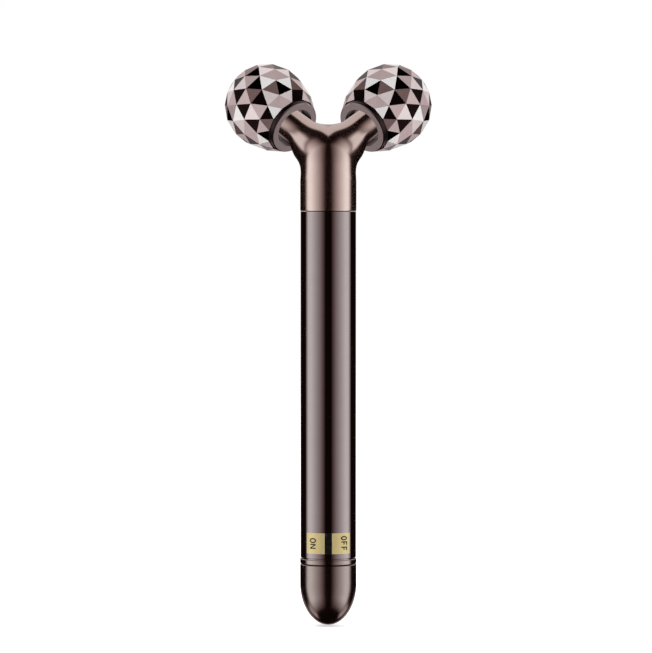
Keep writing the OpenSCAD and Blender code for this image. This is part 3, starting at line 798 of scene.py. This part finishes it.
def paint_facet_tones(shell, way):
    """Gives each facet of a ball its painted reflection tone, stepping round the axle. The two balls mirror
    each other.
    """
    side = math.copysign(1, way[0])
    front = np.array([0.0, -1.0, 0.0])
    front -= (front @ way) * way
    front /= np.linalg.norm(front)
    across = np.cross(way, front)
    pitch = 2 * math.pi / FACETS

    def corner(row, i):
        place, radius = BALL_ROWS[row]
        turn = (i + (0.5 if row % 2 == 0 else 0)) * pitch
        return place * way + radius * (math.cos(turn) * front + math.sin(turn) * across)

    # The flat round the ball's mouth gets the black tone as painted shade for the gap before the ring
    normals, facet_tones = [-np.array(way)], ["D"]  # the flat round the ball's mouth
    for row in range(len(BALL_ROWS)):
        for i in range(FACETS):
            if row == len(BALL_ROWS) - 1:
                pair = [(corner(row, i), way, corner(row, i + 1))]
            elif row % 2 == 0:
                pair = [(corner(row, i), corner(row + 1, i), corner(row + 1, i + 1))]
                pair += [(corner(row, i), corner(row + 1, i + 1), corner(row, i + 1))]
            else:
                pair = [(corner(row, i), corner(row + 1, i - 1), corner(row + 1, i))]
                pair += [(corner(row, i), corner(row + 1, i), corner(row, i + 1))]
            for k, (a, b, c) in enumerate(pair):
                normal = np.cross(b - a, c - a)
                middle = (a + b + c) / 3
                normal *= np.sign(normal @ middle) / np.linalg.norm(normal)
                step = math.floor(side * math.atan2(middle @ across, middle @ front) / pitch + 0.25)
                normals.append(normal)
                facet_tones.append(PAINTED_TONE_ROUND[(step + BAND_STEP * (2 * row + k)) % len(PAINTED_TONE_ROUND)])
    normals = np.array(normals)
    for tone_material in FACET_PAINTED_TONES.values():
        shell.data.materials.append(tone_material)
    order = list(FACET_PAINTED_TONES)
    for face in shell.data.polygons:
        match = normals @ np.array(face.normal)
        if match.max() > 0.9995:
            face.material_index = 1 + order.index(facet_tones[int(match.argmax())])


for side, sign in (("left", -1), ("right", 1)):
    paint_facet_tones(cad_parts[f"{side}_roller_shell"], arm_direction(sign))

# The polished head shows the studio and not itself, as the retouched picture of a product does
fork_skin.visible_glossy = False
for name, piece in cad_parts.items():
    if name.startswith(("left_", "right_")):
        piece.visible_glossy = False


# ---- Stage: floor, studio light and camera -----------------------------------------------------


def floor_material():
    """A pale floor that reads as white to the camera and keeps the object's soft shadow."""
    material, tree, shader = start_material("Studio floor")
    place = put(tree, "ShaderNodeTexCoord").outputs["Object"]
    tone = noise(tree, place, 3.0, 3.0)
    pale = mix_colours(tree, tone, (0.86, 0.86, 0.86, 1), (0.9, 0.9, 0.9, 1))
    tree.links.new(pale, shader.inputs["Base Color"])
    shader.inputs["Roughness"].default_value = 0.9
    shader.inputs["Specular IOR Level"].default_value = 0.0
    seen = put(tree, "ShaderNodeLightPath").outputs["Is Camera Ray"]
    glow = put(
        tree,
        "ShaderNodeEmission",
        {"Color": (1, 1, 1, 1), "Strength": math_of(tree, "MULTIPLY", seen, 0.475)},
    )
    both = put(tree, "ShaderNodeAddShader", {0: shader.outputs["BSDF"], 1: glow.outputs["Emission"]})
    tree.links.new(both.outputs[0], tree.nodes["Material Output"].inputs["Surface"])
    return material


FLOOR_SIZE = 6.0
floor_mesh = bpy.data.meshes.new("studio_floor")
floor_z = cad_box[0][2] - 0.0004
floor_mesh.from_pydata(
    [(x * FLOOR_SIZE, y * FLOOR_SIZE, floor_z) for x, y in ((-1, -1), (1, -1), (1, 1), (-1, 1))],
    [],
    [(0, 1, 2, 3)],
)
floor = bpy.data.objects.new("studio_floor", floor_mesh)
bpy.context.scene.collection.objects.link(floor)
floor_mesh.materials.append(floor_material())
floor.visible_glossy = False


def group_light_panel():
    """A soft-edged panel of light: where its azimuth and elevation rise and fall, in degrees."""
    limits = {"Rise from": -10.0, "Rise to": 0.0, "Fall from": 60.0, "Fall to": 70.0}
    inputs = {"Azimuth": 0.0, "Elevation": 0.0, "Strength": 1.0}
    inputs |= {f"{angle} {key}": v for angle in ("Azimuth", "Elevation") for key, v in limits.items()}
    tree, given, out = new_group("Light panel", inputs, {"Light": FLOAT})
    light = given.outputs["Strength"]
    for angle in ("Azimuth", "Elevation"):
        for edge, low, high in (("Rise", 0.0, 1.0), ("Fall", 1.0, 0.0)):
            limit = [given.outputs[f"{angle} {edge} {end}"] for end in ("from", "to")]
            share = ramp(tree, given.outputs[angle], *limit, low, high, smooth=False)
            light = math_of(tree, "MULTIPLY", light, share)
    tree.links.new(light, out.inputs["Light"])
    return tree


GROUPS["Light panel"] = group_light_panel()

# Panels as (azimuth, elevation, strength), each angle as where the light starts to rise, is full, starts
# to fall and is gone. Azimuths lie to either side: 0 is the camera's place, 180 straight behind
LIGHT_PANELS = (
    ((12, 76, 92, 109), (-56, -28, 2, 60), 1.0),  # strip at each side, fading upwards
    ((148, 156, 181, 182), (4, 10, 70, 78), 0.62),  # tall panel behind
    ((104, 110, 150, 160), (6, 12, 34, 44), 0.8),  # behind, to each side
    ((140, 150, 181, 182), (-40, -30, -14, -8), 0.4),  # low behind
    ((98, 104, 128, 136), (-58, -52, -34, -24), 0.55),
)


def studio_world():
    """White for the camera, even soft light for matt surfaces, and the studio's panels for mirrors."""
    world = bpy.data.worlds.new("studio")
    bpy.context.scene.world = world
    world.use_nodes = True
    world.cycles.sampling_method = "NONE"
    tree = world.node_tree
    tree.nodes.clear()
    way = put(tree, "ShaderNodeTexCoord").outputs["Generated"]
    x, y, z = put(tree, "ShaderNodeSeparateXYZ", {"Vector": way}).outputs
    azimuth = math_of(tree, "ARCTAN2", math_of(tree, "ABSOLUTE", x), math_of(tree, "MULTIPLY", y, -1.0))
    azimuth = math_of(tree, "DEGREES", azimuth)
    elevation = math_of(tree, "DEGREES", math_of(tree, "ARCSINE", z))
    light = None
    edges = ("Rise from", "Rise to", "Fall from", "Fall to")
    for sideways, upwards, strength in LIGHT_PANELS:
        limits = {f"Azimuth {key}": v for key, v in zip(edges, sideways)}
        limits |= {f"Elevation {key}": v for key, v in zip(edges, upwards)}
        values = {"Azimuth": azimuth, "Elevation": elevation, "Strength": strength} | limits
        panel = put(tree, "ShaderNodeGroup", node_tree=GROUPS["Light panel"])
        for key, value in values.items():
            if isinstance(value, bpy.types.NodeSocket):
                tree.links.new(value, panel.inputs[key])
            else:
                panel.inputs[key].default_value = value
        panel = panel.outputs["Light"]
        light = panel if light is None else math_of(tree, "MAXIMUM", light, panel)
    tones = put(tree, "ShaderNodeValToRGB", {"Fac": light})
    shades = tones.color_ramp.elements
    shades[0].color = (0.008, 0.0035, 0.003, 1)
    shades[1].color = (1, 0.985, 0.975, 1)
    for place, colour in (
        (0.15, (0.15, 0.10, 0.095, 1)),
        (0.4, (0.4, 0.345, 0.345, 1)),
        (0.6, (0.6, 0.53, 0.53, 1)),
    ):
        shades.new(place).color = colour
    path = put(tree, "ShaderNodeLightPath").outputs
    plain = put(tree, "ShaderNodeBackground", {"Color": (1, 1, 1, 1), "Strength": 0.62})
    white = put(tree, "ShaderNodeBackground", {"Color": (1, 1, 1, 1), "Strength": 1.0})
    panels = put(tree, "ShaderNodeBackground", {"Color": tones.outputs["Color"], "Strength": 1.0})
    mirrors = put(
        tree, "ShaderNodeMixShader", {0: path["Is Glossy Ray"], 1: plain.outputs[0], 2: panels.outputs[0]}
    )
    camera = put(
        tree, "ShaderNodeMixShader", {0: path["Is Camera Ray"], 1: mirrors.outputs[0], 2: white.outputs[0]}
    )
    out = tree.nodes.new("ShaderNodeOutputWorld")
    tree.links.new(camera.outputs[0], out.inputs["Surface"])


studio_world()


def soft_lamp(name, place, aim, size, watts):
    """A square lamp that lights matt surfaces and casts the soft shadow."""
    light = bpy.data.lights.new(name, "AREA")
    light.shape = "SQUARE"
    light.size = size
    light.energy = watts
    lamp = bpy.data.objects.new(name, light)
    bpy.context.scene.collection.objects.link(lamp)
    lamp.location = place
    lamp.rotation_euler = (Vector(aim) - Vector(place)).to_track_quat("-Z", "Y").to_euler()
    lamp.visible_glossy = False
    return lamp


MIDDLE = Vector([(cad_box[0][i] + cad_box[1][i]) / 2 for i in range(3)])
soft_lamp("key_lamp", (-0.5, -0.6, 0.9), MIDDLE, 0.7, 5.5)
soft_lamp("fill_lamp", (0.7, -0.4, 0.6), MIDDLE, 0.9, 3.0)
soft_lamp("back_lamp", (0.0, 0.9, 0.7), MIDDLE, 0.8, 2.5)

CAMERA_PLACE = Vector((-0.0007, -1.06, 0.0))
CAMERA_AIM_Z = -0.03506
CAMERA_LENS = 192.81
camera_data = bpy.data.cameras.new("photo_camera")
camera_data.sensor_width = 36.0
camera_data.sensor_fit = "HORIZONTAL"
camera_data.lens = CAMERA_LENS
camera_data.clip_start = 0.01
camera = bpy.data.objects.new("photo_camera", camera_data)
bpy.context.scene.collection.objects.link(camera)
camera.location = CAMERA_PLACE
aim = Vector((CAMERA_PLACE.x, 0.0, CAMERA_AIM_Z))
camera.rotation_euler = (aim - CAMERA_PLACE).to_track_quat("-Z", "Y").to_euler()
bpy.context.scene.camera = camera
bpy.context.scene.view_settings.view_transform = "Standard"
